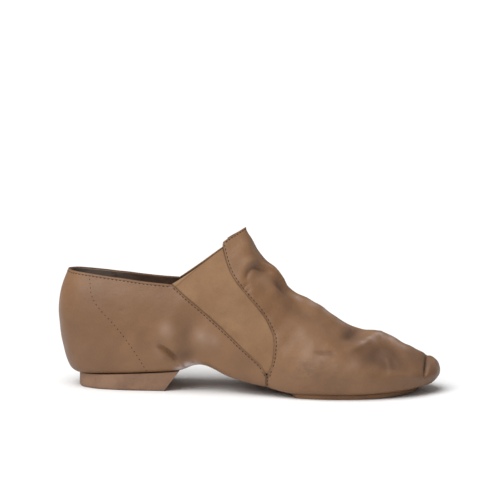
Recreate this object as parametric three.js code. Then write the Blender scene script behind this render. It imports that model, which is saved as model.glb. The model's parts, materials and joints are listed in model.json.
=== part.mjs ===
import * as THREE from "three";
import { mergeVertices } from "three/addons/utils/BufferGeometryUtils.js";

// Slip-on dance shoe for the right foot, with a split sole.
// Millimetres; +X to the toe, +Y to the inner side, +Z up.

// Driving sizes. Lengths in the tables run forward from the back of the shoe, heights up from the floor.
const shoeLength = 247.5;
const ballHalfWidth = 42;
const flapHeight = 105;
const wall = 1.8;
const clearance = 0.3;
const plugClearance = 0.6;

// The leather turned under at the feather edge
const turnRise = 2.2;
const lastingMargin = 10;
const toeMargin = 16;
const turnSoftness = 0.4;

// Underside
const heelHeight = 11.9;
const archHeight = 17.5;
const toeSpring = 1.7;

// Heel block
const heelLength = 58;
const breastSlope = 9;
const heelSideInset = 0.8;
const heelBackInset = 5.6;
const heelSideShare = 0.5;
const heelBevel = 0.8;

// Forefoot sole
const treadThickness = 1.5;
const treadStart = 150;
const treadInset = 3;
const treadToeInset = 9;
const treadToeShare = 0.5;
const treadCorner = 14;
const treadCornerShare = 0.14;

// Elastic gores
const goreThickness = 1.2;
const goreRecess = 0.5;
const goreTopDrop = 4;
const goreEdgeGap = 0.7;
const goreTipWidth = 2;

// Insole
const insoleThickness = 1.5;
const insoleInset = 7.8;
const insoleLift = 0.6;

// Ribs of the last, from the centre back round to the toe tip. Each point is a share of the named sizes:
// along shoeLength, out over ballHalfWidth and, but for the foot row, up over flapHeight. The foot row's height
// follows the underside. "round" is how far the top of a rib turns over to meet its twin across the instep.
const backRib = {
  foot: [0.034, 0], belly: [0, 0, 0.44],
  hip: [0.005, 0, 0.59], top: [0.024, 0, 0.718], round: 0,
};
const tipRib = {
  foot: [0.982, 0.11], belly: [1, 0.13, 0.108],
  hip: [0.996, 0.14, 0.165], top: [0.978, 0.15, 0.218], round: 1,
};

const lateralRibs = [
  backRib,
  {
    foot: [0.055, -0.36], belly: [0.02, -0.39, 0.43],
    hip: [0.024, -0.345, 0.58], top: [0.044, -0.25, 0.716], round: 0,
  },
  {
    foot: [0.109, -0.54], belly: [0.078, -0.615, 0.4],
    hip: [0.08, -0.555, 0.56], top: [0.097, -0.417, 0.707], round: 0,
  },
  {
    foot: [0.178, -0.61], belly: [0.17, -0.702, 0.365],
    hip: [0.17, -0.643, 0.54], top: [0.178, -0.512, 0.689], round: 0,
  },
  {
    foot: [0.259, -0.607], belly: [0.251, -0.714, 0.324],
    hip: [0.246, -0.679, 0.514], top: [0.246, -0.567, 0.672], round: 0,
  },
  {
    foot: [0.323, -0.595], belly: [0.319, -0.714, 0.324],
    hip: [0.311, -0.702, 0.514], top: [0.308, -0.583, 0.662], round: 0,
  },
  {
    foot: [0.388, -0.607], belly: [0.38, -0.738, 0.362],
    hip: [0.368, -0.679, 0.6], top: [0.368, -0.5, 0.771], round: 0,
  },
  {
    foot: [0.455, -0.69], belly: [0.449, -0.81, 0.381],
    hip: [0.436, -0.69, 0.65], top: [0.434, -0.393, 0.914], round: 0.2,
  },
  {
    foot: [0.51, -0.79], belly: [0.509, -0.893, 0.343],
    hip: [0.505, -0.71, 0.615], top: [0.493, 0, 1], round: 0.5,
  },
  {
    foot: [0.56, -0.86], belly: [0.566, -0.952, 0.286],
    hip: [0.554, -0.702, 0.54], top: [0.537, 0, 0.8], round: 0.8,
  },
  {
    foot: [0.606, -0.955], belly: [0.61, -1.02, 0.248],
    hip: [0.594, -0.714, 0.462], top: [0.569, 0, 0.742], round: 1,
  },
  {
    foot: [0.646, -1.01], belly: [0.642, -1.065, 0.21],
    hip: [0.63, -0.738, 0.41], top: [0.603, 0, 0.607], round: 1,
  },
  {
    foot: [0.711, -1.04], belly: [0.707, -1.095, 0.181],
    hip: [0.695, -0.75, 0.352], top: [0.674, 0.024, 0.533], round: 1,
  },
  {
    foot: [0.792, -0.98], belly: [0.788, -1.03, 0.162],
    hip: [0.776, -0.667, 0.295], top: [0.786, 0.048, 0.35], round: 1,
  },
  {
    foot: [0.861, -0.84], belly: [0.861, -0.89, 0.14],
    hip: [0.848, -0.548, 0.252], top: [0.83, 0.071, 0.362], round: 1,
  },
  {
    foot: [0.92, -0.62], belly: [0.922, -0.67, 0.125],
    hip: [0.908, -0.45, 0.215], top: [0.892, 0.095, 0.29], round: 1,
  },
  {
    foot: [0.96, -0.33], belly: [0.972, -0.37, 0.11],
    hip: [0.96, -0.24, 0.182], top: [0.942, 0.13, 0.24], round: 1,
  },
  tipRib,
];
const medialRibs = [
  backRib,
  {
    foot: [0.055, 0.36], belly: [0.02, 0.39, 0.43],
    hip: [0.024, 0.345, 0.58], top: [0.044, 0.25, 0.71], round: 0,
  },
  {
    foot: [0.109, 0.54], belly: [0.078, 0.61, 0.4],
    hip: [0.08, 0.55, 0.56], top: [0.097, 0.417, 0.692], round: 0,
  },
  {
    foot: [0.178, 0.6], belly: [0.17, 0.69, 0.365],
    hip: [0.17, 0.631, 0.54], top: [0.178, 0.5, 0.67], round: 0,
  },
  {
    foot: [0.259, 0.571], belly: [0.251, 0.69, 0.333],
    hip: [0.246, 0.655, 0.514], top: [0.246, 0.55, 0.652], round: 0,
  },
  {
    foot: [0.323, 0.5], belly: [0.319, 0.667, 0.362],
    hip: [0.311, 0.655, 0.514], top: [0.308, 0.56, 0.644], round: 0,
  },
  {
    foot: [0.388, 0.476], belly: [0.38, 0.667, 0.4],
    hip: [0.368, 0.631, 0.6], top: [0.368, 0.5, 0.76], round: 0,
  },
  {
    foot: [0.455, 0.548], belly: [0.449, 0.738, 0.419],
    hip: [0.436, 0.643, 0.66], top: [0.434, 0.393, 0.9], round: 0.2,
  },
  {
    foot: [0.51, 0.69], belly: [0.509, 0.833, 0.381],
    hip: [0.505, 0.675, 0.625], top: [0.493, 0, 1], round: 0.5,
  },
  {
    foot: [0.56, 0.786], belly: [0.566, 0.905, 0.324],
    hip: [0.554, 0.667, 0.55], top: [0.537, 0, 0.8], round: 0.8,
  },
  {
    foot: [0.606, 0.857], belly: [0.61, 0.952, 0.276],
    hip: [0.594, 0.679, 0.486], top: [0.569, 0, 0.742], round: 1,
  },
  {
    foot: [0.646, 0.893], belly: [0.642, 0.976, 0.238],
    hip: [0.63, 0.69, 0.438], top: [0.603, 0, 0.607], round: 1,
  },
  {
    foot: [0.711, 0.929], belly: [0.707, 1, 0.2],
    hip: [0.695, 0.714, 0.381], top: [0.674, 0.024, 0.533], round: 1,
  },
  {
    foot: [0.792, 0.905], belly: [0.788, 0.976, 0.176],
    hip: [0.776, 0.69, 0.324], top: [0.786, 0.048, 0.35], round: 1,
  },
  {
    foot: [0.861, 0.821], belly: [0.861, 0.893, 0.162],
    hip: [0.848, 0.619, 0.281], top: [0.83, 0.071, 0.362], round: 1,
  },
  {
    foot: [0.917, 0.667], belly: [0.919, 0.738, 0.135],
    hip: [0.908, 0.56, 0.235], top: [0.892, 0.095, 0.29], round: 1,
  },
  {
    foot: [0.96, 0.47], belly: [0.97, 0.52, 0.115],
    hip: [0.96, 0.44, 0.19], top: [0.942, 0.13, 0.24], round: 1,
  },
  tipRib,
];

// Ribs that something else lines up with
const heelOpeningRib = 4;
const forefootOpeningRib = 11;
const notchRib = 5;
const flapCornerRib = 7;
const throatRib = 8;
const toeMarginRib = 12;
const seamRib = 9;
const lastRib = lateralRibs.length - 1;

// Height of the underside along the shoe, as shares of the sizes named in the columns
const underside = [
  { at: 0, heel: 0.6 },
  { at: 0.057, heel: 0.64 },
  { at: 0.18, heel: 0.79 },
  { at: 0.29, heel: 0.92 },
  { at: 0.325, heel: 1 },
  { at: 0.35, arch: 0.84 },
  { at: 0.376, arch: 1 },
  { at: 0.41, arch: 0.82 },
  { at: 0.442, arch: 0.61 },
  { at: 0.473, arch: 0.49 },
  { at: 0.505, arch: 0.39 },
  { at: 0.537, arch: 0.31 },
  { at: 0.569, arch: 0.24 },
  { at: 0.6, arch: 0.14 },
  { at: 0.632, tread: 1, spring: 0.08 },
  { at: 0.66, tread: 1 },
  { at: 0.8, tread: 1 },
  { at: 0.86, tread: 1, spring: 0.3 },
  { at: 0.93, tread: 1, spring: 0.8 },
  { at: 1, tread: 1, spring: 1 },
].map((row) => ({
  at: row.at * shoeLength,
  value:
    (row.heel ?? 0) * heelHeight +
    (row.arch ?? 0) * archHeight +
    (row.tread ?? 0) * treadThickness +
    (row.spring ?? 0) * toeSpring,
}));

// The gore's two edges in side view, between their ends on the ribs: height and place along the shoe, as shares
const goreFront = [
  { up: 0.802, along: 0.449 },
  { up: 0.727, along: 0.464 },
  { up: 0.613, along: 0.504 },
  { up: 0.509, along: 0.545 },
  { up: 0.418, along: 0.569 },
  { up: 0.346, along: 0.58 },
  { up: 0.246, along: 0.577 },
];
const goreRear = [
  { up: 0.599, along: 0.341 },
  { up: 0.504, along: 0.393 },
  { up: 0.398, along: 0.447 },
  { up: 0.288, along: 0.499 },
  { up: 0.22, along: 0.535 },
];

// How finely the skin is cut: rows in each part of a rib, from the margin up, and columns along each side
const rowsPerPart = [2, 5, 5, 7];
const goreCornerRow = 4;
const quarterColumns = 27;
const vampColumns = 20;
const archCells = 4;
const goreColumns = 8;
const padCells = 20;
const shelfLoops = 3;
const solveSteps = 40;
const weldDistance = 1e-3;

// Steps over which a slope is taken: along the underside, then among the ribs. "crestTurn" is how many ribs
// before the toe tip the crest begins to turn back along the ridge.
const slopeStep = 1;
const footStep = 0.02;
const skinStep = 0.01;
const ridgeStep = 0.5;
const crestTurn = 2;

const sides = { lateral: lateralRibs, medial: medialRibs };

// Value of a table at a place, smooth and never past its rows, so level stretches stay level
function along(rows, at) {
  const last = rows.length - 1;
  if (at <= rows[0].at) return rows[0].value;
  if (at >= rows[last].at) return rows[last].value;
  const k = rows.findIndex((row) => row.at > at) - 1;
  const rise = (j) => (rows[j + 1].value - rows[j].value) / (rows[j + 1].at - rows[j].at);
  const slope = (j) => {
    if (j === 0) return rise(0);
    if (j === last) return rise(last - 1);
    const before = rise(j - 1);
    const after = rise(j);
    return before * after <= 0 ? 0 : (2 * before * after) / (before + after);
  };
  const [from, to] = [rows[k], rows[k + 1]];
  const span = to.at - from.at;
  return hermite(from.value, slope(k) * span, to.value, slope(k + 1) * span, (at - from.at) / span);
}

function hermite(start, startSlope, end, endSlope, f) {
  const g = 1 - f;
  const values = g * g * (1 + 2 * f) * start + f * f * (1 + 2 * g) * end;
  return values + f * g * (g * startSlope - f * endSlope);
}

function bend(start, startSlope, end, endSlope, f) {
  const span = start.distanceTo(end);
  const axis = (key) => hermite(start[key], startSlope[key] * span, end[key], endSlope[key] * span, f);
  return new THREE.Vector3(axis("x"), axis("y"), axis("z"));
}

// Direction of a smooth line at one of its points, weighted to the nearer neighbour
function heading(before, here, after) {
  const back = here.clone().sub(before);
  const ahead = after.clone().sub(here);
  const backSpan = back.length();
  const aheadSpan = ahead.length();
  return back
    .multiplyScalar(aheadSpan / backSpan)
    .addScaledVector(ahead, backSpan / aheadSpan)
    .divideScalar(backSpan + aheadSpan);
}

// Direction halfway round a corner, for an edge that turns in a short way
function halfway(before, here, after) {
  return here.clone().sub(before).normalize().add(after.clone().sub(here).normalize()).normalize();
}

function undersideAt(x) {
  return clearance + along(underside, x);
}

function undersideSlope(x) {
  return (undersideAt(x + slopeStep) - undersideAt(x - slopeStep)) / (2 * slopeStep);
}

// Height of a surface that lies at a depth above the underside, measured square to it
function heightAbove(x, depth) {
  return undersideAt(x) + depth * Math.hypot(1, undersideSlope(x));
}

function across(side) {
  return side === "lateral" ? "medial" : "lateral";
}

function ribPoint(side, k, row) {
  const [x, y, z] = sides[side][k][row];
  const place = new THREE.Vector3(x * shoeLength, y * ballHalfWidth, 0);
  place.z = row === "foot" ? undersideAt(place.x) + turnRise : z * flapHeight;
  return place;
}

// The point of a row at rib k, counted on past the centre back or the toe tip onto the other side
function rowPoint(side, k, row) {
  if (k < 0) return ribPoint(across(side), -k, row);
  if (k <= lastRib) return ribPoint(side, k, row);
  return row === "top" ? ribPoint(side, lastRib, "hip") : ribPoint(across(side), 2 * lastRib - k, row);
}

// A row's point between ribs. The top row turns sharply where the panels' edges meet.
const topCorners = new Set([notchRib, flapCornerRib, throatRib]);
function onRow(side, s, row) {
  const k = Math.min(Math.floor(s), lastRib - 1);
  const here = rowPoint(side, k, row);
  const next = rowPoint(side, k + 1, row);
  const chord = next.clone().sub(here).normalize();
  const sharp = (j) => row === "top" && topCorners.has(j);
  const start = sharp(k) ? chord : heading(rowPoint(side, k - 1, row), here, next);
  const end = sharp(k + 1) ? chord : heading(here, next, rowPoint(side, k + 2, row));
  return bend(here, start, next, end, s - k);
}

// Horizontal direction into the shoe from the feather edge
function inward(side, s) {
  const near = (at) => {
    if (at < 0) return onRow(across(side), -at, "foot");
    return at > lastRib ? onRow(across(side), 2 * lastRib - at, "foot") : onRow(side, at, "foot");
  };
  const run = near(s + footStep).sub(near(s - footStep));
  const turn = side === "lateral" ? 1 : -1;
  return new THREE.Vector3(-run.y * turn, run.x * turn, 0).normalize();
}

// Width of the turned-under margin, wider at the toe
function marginAt(s) {
  return THREE.MathUtils.lerp(lastingMargin, toeMargin, THREE.MathUtils.smoothstep(s, toeMarginRib, lastRib));
}

// How far a rib's top turns over, between ribs
function roundAt(side, s) {
  const ribs = sides[side];
  const k = Math.min(Math.floor(s), lastRib - 1);
  return THREE.MathUtils.lerp(ribs[k].round, ribs[k + 1].round, s - k);
}

// The line of one rib from the turned-under margin up to the top: its five points and its direction at each
const ribsMade = new Map();
function rib(side, s) {
  const key = `${side} ${s}`;
  if (!ribsMade.has(key)) ribsMade.set(key, makeRib(side, s));
  return ribsMade.get(key);
}

function makeRib(side, s) {
  const into = inward(side, s);
  const foot = onRow(side, s, "foot");
  const margin = foot.clone().addScaledVector(into, marginAt(s));
  margin.z = undersideAt(margin.x);
  const belly = onRow(side, s, "belly");
  const hip = onRow(side, s, "hip");
  const top = onRow(side, s, "top");
  const over = onRow(across(side), s, "hip").sub(hip);
  const turn = Math.max(0, s - lastRib + crestTurn);
  over.addScaledVector(onRow(side, Math.max(0, s - ridgeStep), "top").sub(top), turn);
  const straight = top.clone().sub(hip).normalize();
  const crest = straight.lerp(over.normalize(), roundAt(side, s));
  const outward = into.negate();
  outward.z = outward.x * undersideSlope(margin.x);
  const flanks = [heading(foot, belly, hip), heading(belly, hip, top)];
  return {
    points: [margin, foot, belly, hip, top],
    headings: [outward, halfway(margin, foot, belly), ...flanks, crest],
  };
}

// The outer skin: s counts ribs from the back, t counts the rib's points from the margin
function skin(side, s, t) {
  const { points, headings } = rib(side, s);
  const k = Math.min(Math.floor(t), points.length - 2);
  const start = k === 1 ? headings[k].clone().multiplyScalar(turnSoftness) : headings[k];
  return bend(points[k], start, points[k + 1], headings[k + 1], t - k);
}

// The skin with its outward normal, taken from points close by
function place(side, s, t) {
  const reach = (value, last) => [Math.max(0, value - skinStep), Math.min(last, value + skinStep)];
  const [behind, ahead] = reach(s, lastRib).map((near) => skin(side, near, t));
  const [below, above] = reach(t, topLevel).map((near) => skin(side, s, near));
  const normal = ahead.sub(behind).cross(above.sub(below)).normalize();
  if (side === "medial") normal.negate();
  return { point: skin(side, s, t), normal };
}

const levels = [0];
rowsPerPart.forEach((rows, part) => {
  for (let j = 1; j <= rows; j++) levels.push(part + j / rows);
});
const topLevel = levels[levels.length - 1];
const cornerLevel = levels[goreCornerRow];

// A gore edge in side view, from the corner at the seam up to the top line
function edgeRows(side, edge, topRib) {
  const top = skin(side, topRib, topLevel);
  const corner = skin(side, seamRib, cornerLevel);
  const middle = edge.map((row) => ({ at: row.up * flapHeight, value: row.along * shoeLength }));
  return [{ at: corner.z, value: corner.x }, ...middle.reverse(), { at: top.z, value: top.x }];
}

// Where a gore edge crosses a row of the skin, as a place among the ribs; "shift" moves the edge along the shoe
function crossing(side, rows, t, shift) {
  let low = notchRib - 1;
  let high = seamRib + 1;
  for (let step = 0; step < solveSteps; step++) {
    const middle = (low + high) / 2;
    const point = skin(side, middle, t);
    if (point.x < along(rows, point.z) + shift) low = middle;
    else high = middle;
  }
  return (low + high) / 2;
}
const edges = Object.fromEntries(
  Object.keys(sides).map((side) => [
    side,
    { front: edgeRows(side, goreFront, flapCornerRib), rear: edgeRows(side, goreRear, notchRib) },
  ]),
);
function windowEdge(side, which, t) {
  if (t <= cornerLevel) return seamRib;
  if (t >= topLevel) return which === "front" ? flapCornerRib : notchRib;
  return crossing(side, edges[side][which], t, 0);
}

// Triangles of a grid of places, wound so that a lateral grid faces out; "flip" turns it for the medial side
function gridFaces(grid, flip) {
  const faces = [];
  for (let i = 0; i + 1 < grid.length; i++) {
    for (let j = 0; j + 1 < grid[i].length; j++) {
      const [a, b, c, d] = [grid[i][j], grid[i + 1][j], grid[i + 1][j + 1], grid[i][j + 1]];
      if (flip) faces.push(a, c, b, a, d, c);
      else faces.push(a, b, c, a, c, d);
    }
  }
  return faces;
}

// A geometry of welded triangles, without those that close up to a line
function weld(corners) {
  const welded = mergeVertices(new THREE.BufferGeometry().setFromPoints(corners), weldDistance);
  const kept = [];
  const index = welded.index.array;
  for (let i = 0; i < index.length; i += 3) {
    const [a, b, c] = index.slice(i, i + 3);
    if (a !== b && b !== c && c !== a) kept.push(a, b, c);
  }
  welded.setIndex(kept);
  return welded;
}

// A sheet of places given thickness: its faces moved in by "outer", the same faces moved in by "inner" and
// turned, and a rim between them
function thicken(corners, outer, inner) {
  const points = new THREE.BufferGeometry().setFromPoints(corners.map((corner) => corner.point));
  const welded = mergeVertices(points, weldDistance);
  const owner = welded.index.array;
  const normals = Array.from({ length: welded.getAttribute("position").count }, () => new THREE.Vector3());
  corners.forEach((corner, i) => normals[owner[i]].add(corner.normal));
  normals.forEach((normal) => normal.normalize());
  const sunk = (i, depth) => corners[i].point.clone().addScaledVector(normals[owner[i]], -depth);
  const moved = (depth) => corners.map((_, i) => sunk(i, depth));
  const outside = moved(outer);
  const inside = moved(inner);
  const borders = new Map();
  const faces = [];
  for (let i = 0; i < owner.length; i += 3) {
    const corner = [i, i + 1, i + 2];
    if (new Set(corner.map((j) => owner[j])).size < 3) continue;
    const [a, b, c] = corner;
    faces.push(outside[a], outside[b], outside[c], inside[a], inside[c], inside[b]);
    for (const [p, q] of [[a, b], [b, c], [c, a]]) {
      const twin = `${owner[q]} ${owner[p]}`;
      if (!borders.delete(twin)) borders.set(`${owner[p]} ${owner[q]}`, [p, q]);
    }
  }
  for (const [p, q] of borders.values()) {
    faces.push(outside[q], outside[p], inside[p], outside[q], inside[p], inside[q]);
  }
  return weld(faces);
}

// A solid from loops of equal count, one above the other, closed at both ends across from side to side
function stack(loops) {
  const count = loops[0].length;
  const faces = [];
  for (let k = 0; k + 1 < loops.length; k++) {
    for (let i = 0; i < count; i++) {
      const n = (i + 1) % count;
      faces.push(loops[k][i], loops[k][n], loops[k + 1][n], loops[k][i], loops[k + 1][n], loops[k + 1][i]);
    }
  }
  const cap = (loop, flip) => {
    for (let i = 0; i < (count - 1) / 2; i++) {
      const [a, b, c, d] = [loop[i], loop[i + 1], loop[count - 2 - i], loop[count - 1 - i]];
      if (flip) faces.push(a, c, b, a, d, c);
      else faces.push(a, b, c, a, c, d);
    }
  };
  cap(loops[0], true);
  cap(loops[loops.length - 1], false);
  return weld(faces);
}

function upperShell() {
  const faces = [];
  const marginRows = {};
  const heelArch = Math.round((heelOpeningRib / seamRib) * quarterColumns);
  const vampArch = Math.round(((forefootOpeningRib - seamRib) / (lastRib - seamRib)) * vampColumns);
  for (const [side, flip] of [["lateral", false], ["medial", true]]) {
    const quarter = [];
    for (let i = 0; i <= quarterColumns; i++) {
      quarter.push(levels.map((t) => place(side, (windowEdge(side, "rear", t) * i) / quarterColumns, t)));
    }
    const vamp = [];
    for (let i = 0; i <= vampColumns; i++) {
      const ribFrom = (t) => THREE.MathUtils.lerp(windowEdge(side, "front", t), lastRib, i / vampColumns);
      vamp.push(levels.map((t) => place(side, ribFrom(t), t)));
    }
    faces.push(...gridFaces(quarter, flip), ...gridFaces(vamp, flip));
    const archColumns = [...quarter.slice(heelArch), ...vamp.slice(1, vampArch + 1)];
    marginRows[side] = archColumns.map((column) => column[0]);
  }
  const arch = [];
  for (let i = 0; i < marginRows.lateral.length; i++) {
    const row = [];
    for (let j = 0; j <= archCells; j++) {
      const point = marginRows.lateral[i].point.clone().lerp(marginRows.medial[i].point, j / archCells);
      if (j > 0 && j < archCells) point.z = undersideAt(point.x);
      row.push({ point, normal: new THREE.Vector3(undersideSlope(point.x), 0, -1).normalize() });
    }
    arch.push(row);
  }
  faces.push(...gridFaces(arch, true));
  return thicken(faces, 0, wall);
}

function gore(side, flip) {
  const rear = (t) => crossing(side, edges[side].rear, t, goreEdgeGap);
  const front = (t) => crossing(side, edges[side].front, t, -goreEdgeGap);
  let low = cornerLevel;
  let high = topLevel - 1;
  for (let step = 0; step < solveSteps; step++) {
    const middle = (low + high) / 2;
    const width = skin(side, front(middle), middle).x - skin(side, rear(middle), middle).x;
    if (width < goreTipWidth) low = middle;
    else high = middle;
  }
  const rows = [high, ...levels.filter((t) => t > high)];
  const grid = [];
  const hipToTop = skin(side, flapCornerRib, topLevel).z - skin(side, flapCornerRib, topLevel - 1).z;
  for (let i = 0; i <= goreColumns; i++) {
    const column = [];
    const end = topLevel - ((goreTopDrop / hipToTop) * i) / goreColumns;
    for (const level of rows) {
      const t = high + ((level - high) * (end - high)) / (topLevel - high);
      column.push(place(side, THREE.MathUtils.lerp(rear(t), front(t), i / goreColumns), t));
    }
    grid.push(column);
  }
  return thicken(gridFaces(grid, flip), goreRecess, goreRecess + goreThickness);
}

// The rib whose foot stands at a place along the shoe
function ribAt(side, x) {
  let low = 0;
  let high = lastRib;
  for (let step = 0; step < solveSteps; step++) {
    const middle = (low + high) / 2;
    if (onRow(side, middle, "foot").x < x) low = middle;
    else high = middle;
  }
  return (low + high) / 2;
}

// A flat loop inside the feather edge, from a straight edge across the shoe round its back or its tip and back.
// "inset" gives its distance from the feather edge, by its share of the way from the straight edge to the end.
function loopInside(end, straightAt, inset) {
  const half = (side) => {
    const start = ribAt(side, straightAt);
    const points = [];
    for (let i = 0; i <= padCells; i++) {
      const share = i / padCells;
      const s = THREE.MathUtils.lerp(start, end, share);
      points.push(onRow(side, s, "foot").addScaledVector(inward(side, s), inset(share, s)));
    }
    return points;
  };
  const [first, second] = end === 0 ? ["medial", "lateral"] : ["lateral", "medial"];
  return [...half(first), ...half(second).reverse().slice(1)];
}

function raised(loop, height) {
  return loop.map((point) => new THREE.Vector3(point.x, point.y, height(point.x)));
}

// Loops at even steps between a pad's outline and the edge of the opening that it closes, all on the pad's seat
function shelf(end, straights, inset, seat) {
  return Array.from({ length: shelfLoops + 1 }, (_, k) => {
    const part = k / shelfLoops;
    const straight = THREE.MathUtils.lerp(...straights, part);
    const between = (share, s) => THREE.MathUtils.lerp(inset(share), marginAt(s) + plugClearance, part);
    return raised(loopInside(end, straight, between), seat);
  });
}

function heelBlock() {
  const back = backRib.foot[0] * shoeLength + heelBackInset;
  const floorFront = back + heelLength;
  const topFront = floorFront + breastSlope;
  const openingFront = skin("lateral", heelOpeningRib, 0).x - clearance;
  const inset = (share) =>
    THREE.MathUtils.lerp(heelSideInset, heelBackInset, THREE.MathUtils.smoothstep(share, heelSideShare, 1));
  const seat = (x) => undersideAt(x) - clearance;
  const top = shelf(0, [topFront, openingFront], inset, seat);
  return stack([
    raised(loopInside(0, floorFront - heelBevel, (share) => inset(share) + heelBevel), () => 0),
    raised(loopInside(0, floorFront, inset), () => heelBevel),
    ...top,
    raised(top[shelfLoops], (x) => undersideAt(x) + wall),
  ]);
}

function tread() {
  const openingEnds = Object.keys(sides).map((side) => skin(side, forefootOpeningRib, 0).x);
  const openingBack = Math.max(...openingEnds) + clearance;
  const inset = (share) => {
    const toward = THREE.MathUtils.smoothstep(share, treadToeShare, 1);
    const corner = Math.max(0, 1 - share / treadCornerShare);
    const cut = treadCorner * (1 - Math.sqrt(1 - corner * corner));
    return THREE.MathUtils.lerp(treadInset, treadToeInset, toward) + cut;
  };
  const seat = (x) => undersideAt(x) - clearance;
  const top = shelf(lastRib, [treadStart, openingBack], inset, seat);
  return stack([
    raised(top[0], (x) => seat(x) - treadThickness),
    ...top,
    raised(top[shelfLoops], (x) => undersideAt(x) + wall),
  ]);
}

function insole() {
  const stations = [];
  for (let i = 0; i <= quarterColumns; i++) stations.push((seamRib * i) / quarterColumns);
  for (let i = 1; i <= vampColumns; i++) stations.push(THREE.MathUtils.lerp(seamRib, lastRib, i / vampColumns));
  const edgeAt = (side, s) => onRow(side, s, "foot").addScaledVector(inward(side, s), insoleInset);
  const half = (side) => stations.map((s) => edgeAt(side, s));
  const sheet = (depth) => {
    const [lateral, medial] = [half("lateral"), half("medial")];
    const lift = (point) => new THREE.Vector3(point.x, point.y, heightAbove(point.x, depth));
    return lateral.map((point, i) => [lift(point), lift(point.clone().lerp(medial[i], 0.5)), lift(medial[i])]);
  };
  const low = sheet(wall + insoleLift);
  const high = sheet(wall + insoleLift + insoleThickness);
  const faces = [...gridFaces(low, true), ...gridFaces(high, false)];
  for (const edge of [0, 2]) {
    const strip = low.map((row, i) => [row[edge], high[i][edge]]);
    faces.push(...gridFaces(strip, edge === 2));
  }
  return weld(faces);
}

function piece(name, geometry, color, roughness) {
  const mesh = new THREE.Mesh(geometry, new THREE.MeshStandardMaterial({ color, roughness, metalness: 0 }));
  mesh.name = name;
  return mesh;
}

const shoe = new THREE.Group();
shoe.add(
  piece("upper", upperShell(), 0x8b6b54, 0.55),
  piece("gore_lateral", gore("lateral", false), 0x927358, 0.9),
  piece("gore_medial", gore("medial", true), 0x927358, 0.9),
  piece("heel", heelBlock(), 0x8e6f5a, 0.6),
  piece("tread", tread(), 0x8a6e5c, 0.7),
  piece("insole", insole(), 0x928074, 0.8),
);

// The origin is the middle of the heel's rest face
shoe.position.x = -(backRib.foot[0] * shoeLength + heelBackInset + heelLength / 2);

export default shoe;
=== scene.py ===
import json
import math
import random

import bmesh
import bpy
import numpy as np
from mathutils import Matrix, Vector
from mathutils.bvhtree import BVHTree

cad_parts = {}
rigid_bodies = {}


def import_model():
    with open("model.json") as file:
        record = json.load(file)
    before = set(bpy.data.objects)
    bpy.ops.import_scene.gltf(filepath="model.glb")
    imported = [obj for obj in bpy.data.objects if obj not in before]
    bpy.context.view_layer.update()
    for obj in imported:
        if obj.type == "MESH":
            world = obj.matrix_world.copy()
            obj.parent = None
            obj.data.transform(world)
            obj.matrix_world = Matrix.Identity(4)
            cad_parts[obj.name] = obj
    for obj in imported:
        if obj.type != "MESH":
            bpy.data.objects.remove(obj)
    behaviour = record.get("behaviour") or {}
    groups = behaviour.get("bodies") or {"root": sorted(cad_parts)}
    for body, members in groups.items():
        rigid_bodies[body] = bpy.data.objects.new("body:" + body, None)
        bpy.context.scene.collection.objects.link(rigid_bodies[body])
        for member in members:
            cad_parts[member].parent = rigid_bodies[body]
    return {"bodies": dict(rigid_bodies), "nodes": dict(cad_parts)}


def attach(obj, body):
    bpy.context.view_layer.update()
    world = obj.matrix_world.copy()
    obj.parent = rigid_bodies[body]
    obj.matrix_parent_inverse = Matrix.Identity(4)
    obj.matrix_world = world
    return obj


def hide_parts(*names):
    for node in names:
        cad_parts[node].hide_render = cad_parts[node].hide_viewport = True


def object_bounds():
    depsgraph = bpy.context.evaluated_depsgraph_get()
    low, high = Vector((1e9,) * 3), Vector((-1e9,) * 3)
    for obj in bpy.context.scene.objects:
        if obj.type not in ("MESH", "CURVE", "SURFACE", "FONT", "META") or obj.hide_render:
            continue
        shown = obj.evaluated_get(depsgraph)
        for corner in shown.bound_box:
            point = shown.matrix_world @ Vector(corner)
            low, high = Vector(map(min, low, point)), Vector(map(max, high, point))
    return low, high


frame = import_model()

# Slip-on dance shoe for the right foot: toe to +X, inner side to +Y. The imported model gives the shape, and
# this script gives it its folds, edges, stitching and finishes.
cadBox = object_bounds()
mm = 0.001
lowCorner, highCorner = cadBox
shoeLength = highCorner.x - lowCorner.x
shoeHeight = highCorner.z
halfWidth = (highCorner.y - lowCorner.y) / 2
body = next(iter(frame["bodies"]))


def spot(along, out, up):  # a place, as shares of the length from the back, the half width and the height
    return Vector((lowCorner.x + along * shoeLength, out * halfWidth, up * shoeHeight))


def tone(red, green, blue):  # a screen colour as the linear colour that a shader takes
    def linear(value):
        share = value / 255
        return share / 12.92 if share <= 0.04045 else ((share + 0.055) / 1.055) ** 2.4

    return (linear(red), linear(green), linear(blue), 1)


# Shader maths

class Signal:  # one output of a node, so that shader maths reads as sums
    def __init__(self, finish, socket):
        self.finish = finish
        self.socket = socket

    def maths(self, operation, first, second):
        return self.finish.add("ShaderNodeMath", {"operation": operation}, {0: first, 1: second})

    def __add__(self, other):
        return self.maths("ADD", self, other)

    def __radd__(self, other):
        return self.maths("ADD", other, self)

    def __sub__(self, other):
        return self.maths("SUBTRACT", self, other)

    def __rsub__(self, other):
        return self.maths("SUBTRACT", other, self)

    def __mul__(self, other):
        return self.maths("MULTIPLY", self, other)

    def __rmul__(self, other):
        return self.maths("MULTIPLY", other, self)


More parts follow.
